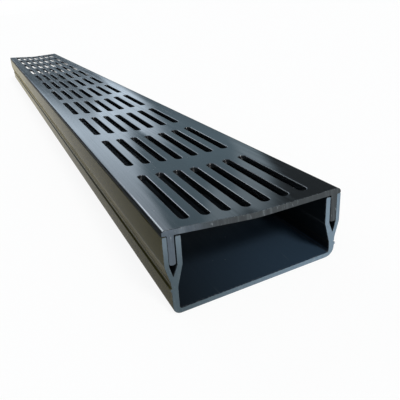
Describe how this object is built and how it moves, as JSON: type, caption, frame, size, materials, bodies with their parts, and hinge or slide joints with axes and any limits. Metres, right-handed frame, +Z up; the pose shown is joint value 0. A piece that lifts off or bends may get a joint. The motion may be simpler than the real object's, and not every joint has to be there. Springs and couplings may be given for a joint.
{
  "type": "channel drain",
  "caption": "Straight plastic channel drain: an open-ended trough with forked side walls of unequal height that hold a dished, slotted push-in grate.",
  "frame": {"origin": "middle of the channel's flat underside, halfway along the length", "axes": "+Z up through the grate, +Y along the length, +X across towards the shorter side wall"},
  "size_m": [0.101, 1, 0.0462],
  "materials": {
    "channel_plastic": "semi-gloss black, as extruded",
    "grate_plastic": "semi-gloss black, as extruded"
  },
  "bodies": {
    "root": {"channel": "channel_plastic", "grate": "grate_plastic"}
  },
  "joints": []
}
